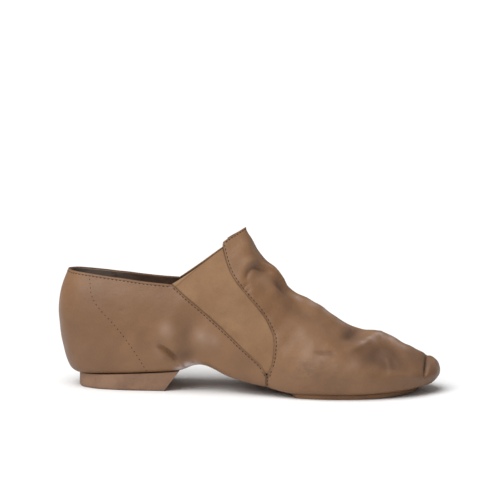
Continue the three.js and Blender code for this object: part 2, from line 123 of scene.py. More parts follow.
class Finish:  # a material and what its node tree is made of
    def __init__(self, name):
        self.material = bpy.data.materials.new(name)
        self.material.use_nodes = True
        self.tree = self.material.node_tree
        self.tree.nodes.clear()

    def add(self, kind, settings=None, inputs=None, output=0):
        node = self.tree.nodes.new(kind)
        for key, value in (settings or {}).items():
            setattr(node, key, value)
        for key, value in (inputs or {}).items():
            if isinstance(value, Signal):
                self.tree.links.new(value.socket, node.inputs[key])
            else:
                node.inputs[key].default_value = value
        return Signal(self, node.outputs[output])

    def place(self, stretch=(1, 1, 1), turn=(0, 0, 0)):  # object coordinates, stretched and turned
        spotOn = self.add("ShaderNodeTexCoord", output="Object")
        return self.add("ShaderNodeMapping", inputs={"Vector": spotOn, "Scale": stretch, "Rotation": turn})

    def noise(self, size, detail=3.0, roughness=0.55, stretch=(1, 1, 1), distortion=0.0):
        return self.add(
            "ShaderNodeTexNoise",
            inputs={
                "Vector": self.place(stretch),
                "Scale": 1 / size,
                "Detail": detail,
                "Roughness": roughness,
                "Distortion": distortion,
            },
        )

    def cells(self, size):  # small cells, as the distance to their walls
        return self.add(
            "ShaderNodeTexVoronoi",
            {"feature": "DISTANCE_TO_EDGE"},
            {"Vector": self.place(), "Scale": 1 / size},
        )

    def band(self, value, low, high):  # how far a value is from low to high, smoothly
        return self.add(
            "ShaderNodeMapRange",
            {"interpolation_type": "SMOOTHSTEP"},
            {"Value": value, "From Min": low, "From Max": high, "To Min": 0, "To Max": 1},
        )

    def absolute(self, value):
        return self.add("ShaderNodeMath", {"operation": "ABSOLUTE"}, {0: value})

    def blend(self, share, first, second):  # from one colour to another
        return self.add(
            "ShaderNodeMix", {"data_type": "RGBA"}, {0: share, 6: first, 7: second}, output=2
        )

    def mark(self, name):  # a number kept on the piece's own points
        return self.add("ShaderNodeAttribute", {"attribute_name": name}, output="Fac")

    def bump(self, height, depth, under=None):  # relief, laid over the relief under it
        inputs = {"Height": height, "Distance": depth, "Strength": 1.0}
        if under:
            inputs["Normal"] = under
        return self.add("ShaderNodeBump", {}, inputs)

    def close(self, inputs):  # the surface itself, and the finished material
        shader = self.add("ShaderNodeBsdfPrincipled", {}, inputs)
        end = self.tree.nodes.new("ShaderNodeOutputMaterial")
        self.tree.links.new(shader.socket, end.inputs["Surface"])
        return self.material


# Leather of the upper

leather = {
    "brown": tone(120, 86, 58),
    "tan": tone(131, 96, 66),
    "rosy": tone(126, 93, 70),
    "deep": tone(76, 52, 36),
    "litAndRubbed": tone(150, 118, 92),
    "grime": tone(88, 71, 60),
    "edgeLine": tone(58, 36, 23),
    "paintedGleam": tone(190, 178, 178),
    "grainSize": 0.75 * mm,
    "roughness": 0.5,
    "coat": 0.08,
    "coatRoughness": 0.4,
    "specular": 0.36,
}


def leatherFinish():
    f = Finish("leather")
    cloud = f.noise(38 * mm, 3)
    patch = f.noise(12 * mm, 4, 0.6, stretch=(1, 1, 1.6))
    fleck = f.noise(1.6 * mm, 3, 0.6)
    shade = f.blend(f.band(cloud, 0.38, 0.66), leather["brown"], leather["tan"])
    shade = f.blend(f.band(patch, 0.45, 0.75) * 0.35, shade, leather["rosy"])
    shade = f.blend(f.band(fleck, 0.5, 0.8) * 0.1, shade, leather["deep"])
    trough = f.mark("trough")
    ridge = f.mark("ridge")
    # painted highlights: paler leather where light falls on the flap, the vamp and the sides over the arch;
    # along the crown and the toe-joint ridge partly rubbed wear too
    shade = f.blend(f.mark("light") * 0.4, shade, leather["litAndRubbed"])
    # painted shade: darker in creases, pits and dents, at the back of the heel and low on the sides; at the
    # toe partly dirt too
    shade = f.blend(f.mark("dark") * 0.62, shade, leather["deep"])
    # painted shade in the troughs of the folds, darker where they are deeper
    shade = f.blend(f.band(trough, 0.2, 3.0) * 0.35, shade, leather["deep"])
    # ridge tops paler: partly rubbed wear, partly painted highlight
    shade = f.blend(f.band(ridge, 0.5, 2.0) * f.band(patch, 0.2, 0.6) * 0.4, shade, leather["litAndRubbed"])
    grime = f.mark("grime") * f.band(f.noise(5 * mm, 5, 0.7), 0.3, 0.7)
    shade = f.blend(grime * 0.6, shade, leather["grime"])
    # painted gleam: pale, near-white reflections painted under the arch and along the crown and the toe-joint
    # ridge; the same places are also made glossier
    paintedGleam = f.mark("paintedGleam") * f.band(f.noise(4 * mm, 3, 0.6), 0.2, 0.6)
    shade = f.blend(paintedGleam * 0.8, shade, leather["paintedGleam"])
    # painted shadow: a dark line along the leather's cut edges, and along the seam where the vamp's edge laps
    # over the quarter
    line = 1 - f.band(f.mark("edge"), 0.1, 0.6)
    shade = f.blend(line * 0.65, shade, leather["edgeLine"])
    seamLine = 1 - f.band(f.mark("seam"), 0.5, 1.7)
    shade = f.blend(seamLine * 0.75, shade, leather["edgeLine"])
    groove = 1 - f.band(f.absolute(f.mark("row")), 0.1, 0.75)
    # painted shade in the grooves of the stitch rows
    shade = f.blend(groove * 0.2, shade, leather["deep"])
    grain = f.band(f.cells(leather["grainSize"]), 0.0, 0.12)
    pores = f.noise(0.5 * mm, 2, 0.5)
    crinkle = f.noise(3.2 * mm, 4, 0.62, stretch=(1, 1, 2.2), distortion=0.4)
    soft = f.noise(9 * mm, 3, 0.5)
    bumps = f.bump(soft, 0.5 * mm)
    bumps = f.bump(crinkle, 0.13 * mm, bumps)
    bumps = f.bump(groove, -0.22 * mm, bumps)
    bumps = f.bump(grain, 0.02 * mm, bumps)
    bumps = f.bump(pores, 0.04 * mm, bumps)
    rough = leather["roughness"] + (patch - 0.5) * 0.16 + grime * 0.15 - paintedGleam * 0.2 + line * 0.3
    coat = (leather["coat"] + f.band(ridge, 0.2, 1.2) * 0.18 + paintedGleam * 0.4) * (1 - line)
    return f.close(
        {
            "Base Color": shade,
            "Roughness": rough,
            "Coat Weight": coat,
            "Coat Roughness": leather["coatRoughness"],
            "Specular IOR Level": leather["specular"],
            "Normal": bumps,
        }
    )


lining = {
    "brown": tone(98, 73, 57),
    "deep": tone(70, 50, 39),
    "pale": tone(160, 144, 132),
    "roughness": 0.82,
}


def liningFinish():
    f = Finish("lining")
    patch = f.noise(9 * mm, 4, 0.6)
    weave = f.noise(0.9 * mm, 2, 0.6)
    shade = f.blend(f.band(patch, 0.35, 0.7), lining["brown"], lining["deep"])
    pale = f.mark("pale") * f.band(f.noise(6 * mm, 4, 0.6), 0.25, 0.5)
    shade = f.blend(pale, shade, lining["pale"])
    bumps = f.bump(patch, 0.3 * mm)
    bumps = f.bump(weave, 0.06 * mm, bumps)
    return f.close(
        {"Base Color": shade, "Roughness": lining["roughness"] + (patch - 0.5) * 0.1, "Normal": bumps}
    )


turnedEdge = {"brown": tone(104, 75, 53), "deep": tone(84, 59, 41), "roughness": 0.8}


def turnedEdgeFinish():
    f = Finish("turnedEdge")
    patch = f.noise(3 * mm, 3)
    shade = f.blend(f.band(patch, 0.35, 0.7), turnedEdge["brown"], turnedEdge["deep"])
    bumps = f.bump(f.noise(0.8 * mm, 3), 0.06 * mm)
    rough = turnedEdge["roughness"]
    return f.close({"Base Color": shade, "Roughness": rough, "Specular IOR Level": 0.2, "Normal": bumps})


# The upper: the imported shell, cut at the side seam into vamp and quarters, refined and folded

reading = {"weld": 2e-6, "bendLimit": 50, "skewLimit": 80}  # a distance, and two angles in degrees
upper = {
    "wall": 1.8 * mm,
    "wallLimit": 1.6,
    "rayStart": 0.3 * mm,
    "rimCrease": 0.9,
    "tipReach": 2.2 * mm,
    "tipCrease": 0.9,
    "levels": 2,
    "seamAlong": 0.566,
    "goreCorner": (0.563, 0.17),
    "goreNotch": (0.307, 0.66),
    "goreMargin": 6 * mm,
    "seamOverlap": 1.1 * mm,
    "seamSink": 0.55 * mm,
    "seamReach": 5 * mm,
    "overlapReach": 2 * mm,
    "lowest": 1.7 * mm,
    "markReach": 9 * mm,
    "toePole": (0.975, 0.127, 0.2),
    "toeFactor": 0.5,
    "toeReach": 5 * mm,
    "toeRounds": 2,
    "toeTip": 3.2 * mm,
    "tipRounds": 14,
}
leatherSlot, liningSlot, rimSlot = range(3)


def cadCopy(node):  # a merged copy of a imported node, with its pairs of triangles made quads
    mesh = frame["nodes"][node].data.copy()
    for name in ("custom_normal", "sharp_edge", "sharp_face"):  # the copy is shaded by its own faces
        if name in mesh.attributes:
            mesh.attributes.remove(mesh.attributes[name])
    bm = bmesh.new()
    bm.from_mesh(mesh)
    bpy.data.meshes.remove(mesh)
    bmesh.ops.remove_doubles(bm, verts=bm.verts, dist=reading["weld"])
    bmesh.ops.join_triangles(
        bm,
        faces=bm.faces,
        angle_face_threshold=math.radians(reading["bendLimit"]),
        angle_shape_threshold=math.radians(reading["skewLimit"]),
        topology_influence=1.0,
    )
    bm.normal_update()
    return bm


def islands(faces):  # groups of faces that share edges
    left = set(faces)
    groups = []
    while left:
        group = [left.pop()]
        for face in group:
            for edge in face.edges:
                for near in edge.link_faces:
                    if near in left:
                        left.remove(near)
                        group.append(near)
        groups.append(group)
    return groups


def sortFaces(bm):  # leather outside, lining inside, and the rim between them
    tree = BVHTree.FromBMesh(bm)
    sheet = []
    for face in bm.faces:
        start = face.calc_center_median() - face.normal * upper["rayStart"]
        met, _, _, depth = tree.ray_cast(start, -face.normal)
        face.material_index = rimSlot
        if met is not None and depth < upper["wall"] * upper["wallLimit"]:
            sheet.append(face)
    groups = sorted(islands(sheet), key=lambda group: -sum(face.calc_area() for face in group))
    for face in groups[0]:
        face.material_index = leatherSlot
    for face in groups[1]:
        face.material_index = liningSlot
    for group in islands([face for face in bm.faces if face.material_index == rimSlot]):
        around = {near.material_index for face in group for edge in face.edges for near in edge.link_faces}
        around.discard(rimSlot)
        if len(around) == 1:  # a fold that looked thick, inside one skin
            for face in group:
                face.material_index = next(iter(around))


def chains(edges):  # edges put in order, as lists of points
    after = {}
    for edge in edges:
        first, second = edge.verts
        after.setdefault(first, []).append(second)
        after.setdefault(second, []).append(first)
    made = []
    while after:
        start = next((v for v in after if len(after[v]) == 1), next(iter(after)))
        line = [start]
        here = start
        while here in after and after[here]:
            there = after[here].pop()
            if not after[here]:
                del after[here]
            after[there].remove(here)
            if not after[there]:
                del after[there]
            line.append(there)
            here = there
        made.append([v.co.copy() for v in line])
    return made


def smoothLine(points, step=0.8 * mm):  # a rounded line through points, at even short steps
    ends = [points[0] * 2 - points[1], *points, points[-1] * 2 - points[-2]]
    line = []
    for before, here, there, beyond in zip(ends, ends[1:], ends[2:], ends[3:]):
        count = max(1, round((there - here).length / step))
        for i in range(count):
            way = i / count
            bendTo = (there - before) / 2
            bendOn = (beyond - here) / 2
            line.append(
                here * (2 * way**3 - 3 * way**2 + 1)
                + bendTo * (way**3 - 2 * way**2 + way)
                + there * (3 * way**2 - 2 * way**3)
                + bendOn * (way**3 - way**2)
            )
    return line + [points[-1]]


print("reading the upper")
shell = cadCopy("upper")
toePole = spot(*upper["toePole"])


def smoothToe(bm, reach, rounds):  # evens out the small faces that meet at the tip of the toe
    near = [v for v in bm.verts if (v.co - toePole).length < reach]
    axes = {"use_axis_x": True, "use_axis_y": True, "use_axis_z": True}
    for _ in range(rounds):
        bmesh.ops.smooth_vert(bm, verts=near, factor=upper["toeFactor"], **axes)


smoothToe(shell, upper["toeReach"], upper["toeRounds"])
sortFaces(shell)
rimEdges = [e for e in shell.edges if {f.material_index for f in e.link_faces} == {leatherSlot, rimSlot}]
topLoop = max(chains(rimEdges), key=lambda line: max(p.z for p in line))[:-1]


def loopBetween(first, second):  # the shorter way round the top edge, from one place to another
    count = len(topLoop)
    start, stop = [min(range(count), key=lambda i: (topLoop[i] - place).length) for place in (first, second)]
    forward = [topLoop[(start + i) % count] for i in range((stop - start) % count + 1)]
    backward = [topLoop[(start - i) % count] for i in range((start - stop) % count + 1)]
    return forward if len(forward) <= len(backward) else backward


corners = {
    "notch": (0.308, 0.556, 0.66),
    "corner": (0.563, 0.85, 0.17),
    "flap": (0.434, 0.37, 0.914),
    "peak": (0.493, 0, 1),
}
sides = {"lateral": -1, "medial": 1}


def cornerAt(name, side):
    along, out, up = corners[name]
    return spot(along, out * sides[side], up)


edgeLines = {"collar": loopBetween(cornerAt("notch", "lateral"), cornerAt("notch", "medial"))}
for side in sides:
    edgeLines["rear_" + side] = loopBetween(cornerAt("notch", side), cornerAt("corner", side))
    edgeLines["front_" + side] = loopBetween(cornerAt("corner", side), cornerAt("flap", side))
    edgeLines["throat_" + side] = loopBetween(cornerAt("flap", side), cornerAt("peak", side))
print("edges:", {name: len(line) for name, line in edgeLines.items()})
skinTree = BVHTree.FromPolygons(
    [v.co.copy() for v in shell.verts],
    [[v.index for v in f.verts] for f in shell.faces if f.material_index == leatherSlot],
)


def fold(wide, high, *line, crisp=0):  # millimetres across and up, and the places that it runs through
    return {"wide": wide, "high": high, "line": line, "crisp": crisp}


# Folds of the worn leather, from heel to toe. A trough's height is below zero. The crisp share of the height
# goes into a narrower, sharper roll.
folds = [
    # under the heel and over the arch, outer side
    fold(1.8, -2.4, (0.276, -0.667, 0.29), (0.299, -0.656, 0.255), (0.325, -0.618, 0.19), crisp=0.4),
    fold(4, 1.3, (0.262, -0.675, 0.312), (0.275, -0.656, 0.25), (0.292, -0.637, 0.2)),
    fold(3, 0.9, (0.312, -0.68, 0.29), (0.325, -0.66, 0.25)),
    fold(4.2, -1.9, (0.33, -0.645, 0.2), (0.35, -0.645, 0.225), (0.37, -0.62, 0.235)),
    fold(6.5, 1.8, (0.292, -0.685, 0.33), (0.306, -0.685, 0.384), (0.318, -0.694, 0.45)),
    fold(6.5, -2.3, (0.338, -0.69, 0.26), (0.352, -0.7, 0.35), (0.358, -0.7, 0.47)),
    fold(7.5, 1.8, (0.372, -0.685, 0.28), (0.392, -0.713, 0.36), (0.42, -0.72, 0.43)),
    fold(2, -0.4, (0.176, -0.64, 0.5), (0.181, -0.64, 0.495)),
    # flap and its bulge
    fold(2.2, -2.0, (0.5, -0.56, 0.7), (0.505, -0.52, 0.742), (0.516, -0.44, 0.772), (0.53, -0.35, 0.775),
         (0.545, -0.27, 0.755), (0.56, -0.21, 0.725), crisp=0.4),
    fold(3.4, 1.1, (0.5, -0.5, 0.8), (0.515, -0.4, 0.812), (0.535, -0.29, 0.8)),
    fold(5, -0.9, (0.505, -0.55, 0.69), (0.522, -0.45, 0.73), (0.54, -0.35, 0.73), (0.56, -0.27, 0.7)),
    fold(2.6, 1.9, (0.535, -0.21, 0.785), (0.558, -0.13, 0.755), (0.575, -0.11, 0.71),
         (0.588, -0.08, 0.665), (0.6, -0.06, 0.625), crisp=0.4),
    fold(4.6, -3.2, (0.57, -0.3, 0.68), (0.587, -0.24, 0.643), (0.605, -0.17, 0.6)),
    fold(3, 0.7, (0.478, -0.2, 0.93), (0.5, -0.22, 0.87), (0.52, -0.2, 0.82)),
    fold(7, -0.8, (0.46, -0.42, 0.8), (0.475, -0.47, 0.75)),
    # along the crown, and beside it
    fold(4, 0.7, (0.61, -0.14, 0.59), (0.63, -0.06, 0.567), (0.669, -0.02, 0.53), (0.7, 0.02, 0.484),
         (0.738, 0.08, 0.409)),
    fold(8, -1.9, (0.605, -0.36, 0.57), (0.645, -0.4, 0.5), (0.68, -0.43, 0.45), (0.72, -0.42, 0.39)),
    fold(6, -1.8, (0.63, 0.3, 0.55), (0.66, 0.33, 0.5), (0.7, 0.36, 0.44)),
    fold(11, 1.4, (0.62, -0.66, 0.46), (0.66, -0.66, 0.42), (0.71, -0.66, 0.365)),
    fold(1.6, -0.9, (0.683, -0.91, 0.284), (0.709, -0.885, 0.278), (0.735, -0.85, 0.282), crisp=0.7),
    fold(4.5, 0.5, (0.68, -0.96, 0.24), (0.71, -0.94, 0.238), (0.735, -0.9, 0.24)),
    fold(6, 0.6, (0.66, -0.84, 0.33), (0.7, -0.8, 0.325)),
    # across the toe joint
    fold(4.6, -3.0, (0.75, -0.5, 0.33), (0.774, -0.22, 0.352), (0.782, 0.08, 0.355), (0.79, 0.35, 0.34),
         crisp=0.2),
    fold(3.2, 2.0, (0.765, -0.7, 0.28), (0.782, -0.6, 0.295), (0.799, -0.46, 0.312), (0.816, -0.3, 0.325),
         (0.83, -0.16, 0.338), (0.848, 0.03, 0.344), crisp=0.2),
    fold(4, 0.9, (0.848, 0.03, 0.344), (0.867, 0.06, 0.324), (0.897, 0.12, 0.283), (0.93, 0.12, 0.254)),
    fold(9.5, -3.3, (0.82, -0.42, 0.295), (0.84, -0.54, 0.258), (0.858, -0.64, 0.22)),
    fold(6, -1.0, (0.87, -0.3, 0.27), (0.9, -0.25, 0.24)),
    fold(2, 0.7, (0.868, -0.47, 0.24), (0.874, -0.62, 0.207), (0.878, -0.75, 0.172)),
    fold(3.2, 1.2, (0.872, -0.8, 0.15), (0.911, -0.67, 0.142), (0.95, -0.485, 0.127)),
    fold(8, 0.7, (0.76, -0.9, 0.2), (0.8, -0.85, 0.19), (0.85, -0.76, 0.175)),
    fold(1.7, -2.8, (0.967, 0.02, 0.218), (0.966, -0.12, 0.195), (0.965, -0.25, 0.165),
         (0.963, -0.42, 0.12), crisp=0.7),
    fold(2.6, -1.3, (0.962, 0.42, 0.2), (0.966, 0.2, 0.222), (0.967, 0.02, 0.218), (0.966, -0.1, 0.2)),
    fold(3.4, 1.1, (0.978, 0.2, 0.205), (0.981, 0.05, 0.205), (0.983, -0.08, 0.185), (0.983, -0.18, 0.15)),
    fold(5, 1.0, (0.984, 0.12, 0.19), (0.989, -0.05, 0.15), (0.981, -0.2, 0.09)),
    # fine creases by the front edge of the gore
    fold(1.0, -0.7, (0.493, -0.655, 0.65), (0.508, -0.6, 0.68), crisp=0.7),
    fold(1.0, -0.7, (0.497, -0.68, 0.622), (0.513, -0.618, 0.655), crisp=0.7),
    fold(1.1, -0.5, (0.503, -0.71, 0.59), (0.516, -0.66, 0.618), crisp=0.7),
    # inner side
    fold(3.4, -1.5, (0.504, 0.53, 0.71), (0.516, 0.42, 0.77), (0.533, 0.3, 0.765)),
    fold(6, 1.2, (0.53, 0.5, 0.66), (0.555, 0.44, 0.63)),
    fold(5, -1.8, (0.575, 0.42, 0.62), (0.6, 0.3, 0.59)),
    fold(9, 1.1, (0.655, 0.62, 0.42), (0.7, 0.64, 0.37)),
    fold(1.6, -1.2, (0.7, 0.86, 0.28), (0.73, 0.83, 0.275), (0.75, 0.8, 0.27), crisp=0.7),
    fold(3, 1.8, (0.8, 0.7, 0.285), (0.825, 0.52, 0.31), (0.845, 0.32, 0.325), crisp=0.4),
    fold(10, -2.2, (0.83, 0.72, 0.26), (0.845, 0.74, 0.235), (0.865, 0.66, 0.235)),
    fold(2.1, -1.7, (0.3, 0.62, 0.28), (0.318, 0.6, 0.24), (0.335, 0.56, 0.19), crisp=0.4),
    fold(4, 1.1, (0.283, 0.63, 0.3), (0.298, 0.62, 0.22)),
    fold(6, -1.5, (0.36, 0.62, 0.3), (0.38, 0.64, 0.42)),
    fold(6, 1.2, (0.4, 0.64, 0.34), (0.42, 0.66, 0.44)),
]

# How a fold is drawn: the step along it, how many widths away it is felt, and how narrow its crisp part is
rolls = {"step": 0.7 * mm, "reach": 3, "crispWidth": 0.55, "finest": 1.1}

# Slow swells of the leather: their lengths, their heights on the vamp and on the quarters, where the one
# passes into the other along the shoe, and how far up from the ground they come in
slack = {
    "long": 34 * mm,
    "short": 13 * mm,
    "shortShare": 0.6,
    "seeds": (3, 8),
    "sines": 7,
    "spread": (0.75, 1.3),
    "vamp": 0.9 * mm,
    "quarter": 0.5 * mm,
    "joint": (0.4, 0.6),
    "rise": (0.06, 0.2),
}


def smoothstep(value, low, high):
    share = np.clip((value - low) / (high - low), 0, 1)
    return share * share * (3 - 2 * share)


def gapsTo(points, line, reach):  # which points are near a line, and their distances to its steps
    spots = np.array(line)
    near = np.all((points > spots.min(0) - reach) & (points < spots.max(0) + reach), axis=1)
    chosen = np.where(near)[0]
    return chosen, np.linalg.norm(points[chosen, None, :] - spots[None, :, :], axis=2)


def nearLine(points, line, reach):  # for each point, its distance to a line
    distance = np.full(len(points), 1.0)
    chosen, gaps = gapsTo(points, line, reach)
    if len(chosen):
        distance[chosen] = gaps.min(1)
    return distance


def waves(points, size, seed):  # slow swells of the leather, from a few crossing sines
    dice = random.Random(seed)
    total = np.zeros(len(points))
    for _ in range(slack["sines"]):
        way = Vector([dice.gauss(0, 1) for _ in range(3)]).normalized()
        start = dice.uniform(0, 2 * math.pi)
        length = size * dice.uniform(*slack["spread"])
        total += np.sin(points @ np.array(way) * 2 * math.pi / length + start)
    return total / slack["sines"]


def foldHeights(points, rows, tree):  # how far the folds lift each point, in metres
    total = np.zeros(len(points))
    step = rolls["step"]
    for row in rows:
        anchors = [tree.find_nearest(spot(*place))[0] for place in row["line"]]
        line = smoothLine(anchors, step)
        # a fold fades towards its ends
        weights = np.sin(math.pi * (np.arange(len(line)) + 0.5) / len(line)) ** 0.5
        chosen, gaps = gapsTo(points, line, row["wide"] * mm * rolls["reach"])
        narrow = max(rolls["crispWidth"] * row["wide"], rolls["finest"]) * mm
        for wide, share in ((row["wide"] * mm, 1 - row["crisp"]), (narrow, row["crisp"])):
            roll = (np.exp(-((gaps / wide) ** 2)) * weights).sum(1) * step / (wide * math.sqrt(math.pi))
            total[chosen] += row["high"] * mm * share * roll
    return total


def pieceObject(name, mesh, finishes):  # a smooth object made of a mesh and its finishes
    piece = bpy.data.objects.new(name, mesh)
    bpy.context.scene.collection.objects.link(piece)
    for i, finish in enumerate(finishes):
        if i < len(mesh.materials):
            mesh.materials[i] = finish
        else:
            mesh.materials.append(finish)
    for polygon in mesh.polygons:
        polygon.use_smooth = True
    return piece


def refined(bm, name, levels, finer=None):  # the mesh divided and rounded, and one material's faces once more
    mesh = bpy.data.meshes.new(name)
    for _ in (leatherSlot, liningSlot, rimSlot):
        mesh.materials.append(None)
    bm.to_mesh(mesh)
    coarse = bpy.data.objects.new(name + "_coarse", mesh)
    bpy.context.scene.collection.objects.link(coarse)
    rounding = coarse.modifiers.new("rounding", "SUBSURF")
    rounding.levels = rounding.render_levels = levels
    depsgraph = bpy.context.evaluated_depsgraph_get()
    fine = bpy.data.meshes.new_from_object(coarse.evaluated_get(depsgraph))
    bpy.data.objects.remove(coarse)
    bm = bmesh.new()
    bm.from_mesh(fine)
    bm.edges.layers.float.remove(bm.edges.layers.float["crease_edge"])
    if "crease_vert" in bm.verts.layers.float:
        bm.verts.layers.float.remove(bm.verts.layers.float["crease_vert"])
    if finer is not None:
        edges = {edge for face in bm.faces if face.material_index == finer for edge in face.edges}
        bmesh.ops.subdivide_edges(bm, edges=list(edges), cuts=1, use_grid_fill=True)
    bm.to_mesh(fine)
    return fine


def pointsOf(mesh):  # the places of a mesh's points, a row each
    flat = np.empty(len(mesh.vertices) * 3)
    mesh.vertices.foreach_get("co", flat)
    return flat.reshape(-1, 3)


def setMark(mesh, name, values):  # a number on each point of a mesh
    layer = mesh.attributes.new(name, "FLOAT", "POINT")
    layer.data.foreach_set("value", values.astype(np.float32))


def inVamp(centre):  # whether a place lies on the vamp's side of the seam
    along = (centre.x - lowCorner.x) / shoeLength
    (cornerAlong, cornerUp), (notchAlong, notchUp) = upper["goreCorner"], upper["goreNotch"]
    rise = (notchUp - cornerUp) / (notchAlong - cornerAlong)
    diagonal = (cornerUp + (along - cornerAlong) * rise) * shoeHeight
    return along > upper["seamAlong"] or centre.z > diagonal + upper["goreMargin"]


def panel(keepVamp):  # one side of the seam, closed along the cut
    bm = shell.copy()
    away = [face for face in bm.faces if inVamp(face.calc_center_median()) != keepVamp]
    bmesh.ops.delete(bm, geom=away, context="FACES")
    cut = [e for e in bm.edges if e.is_boundary]
    outer = [e for e in cut if e.link_faces[0].material_index == leatherSlot]
    inner = [e for e in cut if e.link_faces[0].material_index == liningSlot]
    bridged = bmesh.ops.bridge_loops(bm, edges=outer + inner)
    for face in bridged["faces"]:
        face.material_index = rimSlot
    left = [e for e in bm.edges if e.is_boundary]
    bmesh.ops.holes_fill(bm, edges=left, sides=4)
    bmesh.ops.recalc_face_normals(bm, faces=bm.faces)
    creases = bm.edges.layers.float.new("crease_edge")
    for edge in bm.edges:
        if len({f.material_index for f in edge.link_faces}) > 1:
            edge[creases] = upper["rimCrease"]
    points = bm.verts.layers.float.new("crease_vert")
    tips = [cornerAt(name, side) for name in ("flap", "peak") for side in sides]
    for vert in bm.verts:
        if min((vert.co - tip).length for tip in tips) < upper["tipReach"]:
            vert[points] = upper["tipCrease"]
    print("panel: faces", len(bm.faces), "open edges", sum(1 for e in bm.edges if not e.is_manifold))
    return bm


# Painted shade, painted highlights, dirt, painted gleam and paler lining: where, how wide in millimetres, and
# how strong
tintSpots = {
    # painted shade in creases, pits and dents, at the back of the heel and low on the sides; at the toe
    # partly dirt too
    "dark": [
        ((0.845, -0.58, 0.25), 14, 1),
        ((0.865, -0.4, 0.26), 9, 0.7),
        ((0.88, -0.6, 0.19), 9, 0.5),
        ((0.7, -0.9, 0.282), 2.6, 0.6),
        ((0.722, -0.87, 0.28), 2.6, 0.6),
        ((0.97, -0.2, 0.15), 12, 0.5),
        ((0.94, -0.1, 0.23), 9, 0.4),
        ((0.772, -0.25, 0.35), 8, 0.35),
        ((0.588, -0.24, 0.64), 6, 0.4),
        ((0.53, -0.35, 0.765), 5, 0.5),
        ((0.61, -0.45, 0.53), 9, 0.2),
        ((0.345, -0.64, 0.215), 6, 0.7),
        ((0.312, -0.64, 0.225), 4, 0.6),
        ((0.35, -0.7, 0.3), 7, 0.3),
        ((0.02, -0.2, 0.12), 12, 0.4),
        ((0.02, -0.4, 0.42), 17, 0.5),
        ((0.1, -0.55, 0.66), 15, 0.45),
        ((0.24, -0.62, 0.66), 14, 0.2),
        ((0.12, -0.6, 0.13), 10, 0.3),
        ((0.795, -0.85, 0.24), 9, 0.35),
        ((0.5, -0.75, 0.2), 10, 0.3),
        ((0.86, 0.7, 0.24), 12, 0.7),
        ((0.59, 0.3, 0.63), 6, 0.6),
        ((0.97, 0.3, 0.2), 8, 0.5),
        ((0.33, 0.6, 0.21), 6, 0.5),
    ],
    # painted highlights on the flap, the vamp and the sides over the arch; along the crown and the toe-joint
    # ridge partly rubbed wear too
    "light": [
        ((0.455, -0.4, 0.87), 12, 0.5),
        ((0.5, -0.45, 0.8), 7, 0.5),
        ((0.545, -0.42, 0.7), 7, 1),
        ((0.67, -0.56, 0.47), 13, 0.3),
        ((0.7, -0.6, 0.41), 11, 0.25),
        ((0.62, -0.12, 0.575), 4, 0.6),
        ((0.66, -0.05, 0.535), 5, 0.8),
        ((0.71, 0, 0.465), 5, 0.8),
        ((0.79, -0.5, 0.305), 3, 0.6),
        ((0.815, -0.3, 0.325), 3.5, 0.8),
        ((0.835, -0.1, 0.34), 4, 0.8),
        ((0.87, 0, 0.32), 5, 0.6),
        ((0.905, 0, 0.28), 6, 0.4),
        ((0.298, -0.685, 0.37), 5, 1),
        ((0.382, -0.71, 0.35), 6, 1),
        ((0.42, -0.72, 0.34), 5, 0.8),
        ((0.77, -0.9, 0.2), 14, 0.3),
        ((0.66, 0.6, 0.42), 14, 0.5),
        ((0.31, 0.685, 0.39), 9, 0.5),
        ((0.4, 0.66, 0.38), 10, 0.5),
    ],
    "grime": [
        ((0.662, -1.0, 0.19), 7, 0.9),
        ((0.7, -0.93, 0.25), 5, 0.6),
        ((0.772, -0.2, 0.35), 6, 0.35),
        ((0.845, -0.58, 0.245), 14, 0.15),
        ((0.965, -0.15, 0.19), 4, 1),
        ((0.966, 0.1, 0.22), 4, 0.8),
        ((0.591, -0.23, 0.63), 5, 0.5),
        ((0.93, -0.3, 0.2), 12, 0.6),
        ((0.73, -1, 0.11), 14, 0.5),
        ((0.6, -0.95, 0.14), 12, 0.4),
        ((0.86, 0.7, 0.24), 14, 0.5),
        ((0.72, 0.85, 0.28), 8, 0.6),
        ((0.97, 0.3, 0.2), 9, 0.6),
        ((0.6, 0.85, 0.2), 14, 0.4),
        ((0.02, 0.1, 0.2), 18, 0.4),
        ((0.05, -0.4, 0.12), 14, 0.3),
        ((0.2, 0.6, 0.16), 14, 0.4),
    ],
    # painted gleam: where pale reflections are painted, under the arch and along the crown and the toe-joint
    # ridge
    "paintedGleam": [
        ((0.323, -0.54, 0.125), 2.8, 0.8),
        ((0.335, -0.55, 0.14), 2.8, 0.9),
        ((0.35, -0.56, 0.158), 2.8, 1),
        ((0.365, -0.54, 0.168), 2.8, 1),
        ((0.38, -0.5, 0.17), 3, 0.7),
        ((0.295, -0.685, 0.4), 3.5, 0.11),
        ((0.388, -0.71, 0.36), 4, 0.13),
        ((0.425, -0.72, 0.33), 3, 0.1),
        ((0.8, -0.4, 0.318), 2.6, 0.3),
        ((0.822, -0.25, 0.334), 3, 0.35),
        ((0.842, -0.08, 0.345), 3.5, 0.4),
        ((0.87, 0, 0.325), 4, 0.35),
        ((0.9, -0.03, 0.29), 5, 0.25),
        ((0.63, -0.12, 0.57), 3, 0.3),
        ((0.665, -0.08, 0.53), 3.5, 0.28),
        ((0.7, -0.03, 0.48), 3.5, 0.28),
        ((0.735, 0.02, 0.41), 4, 0.24),
        ((0.345, 0.48, 0.158), 4, 0.5),
        ((0.365, 0.46, 0.168), 4, 0.5),
    ],
    "pale": [
        ((0.02, 0, 0.62), 22, 1),
        ((0.08, 0.4, 0.62), 20, 1),
        ((0.08, -0.4, 0.62), 16, 0.8),
        ((0.1, 0, 0.2), 26, 0.8),
    ],
}


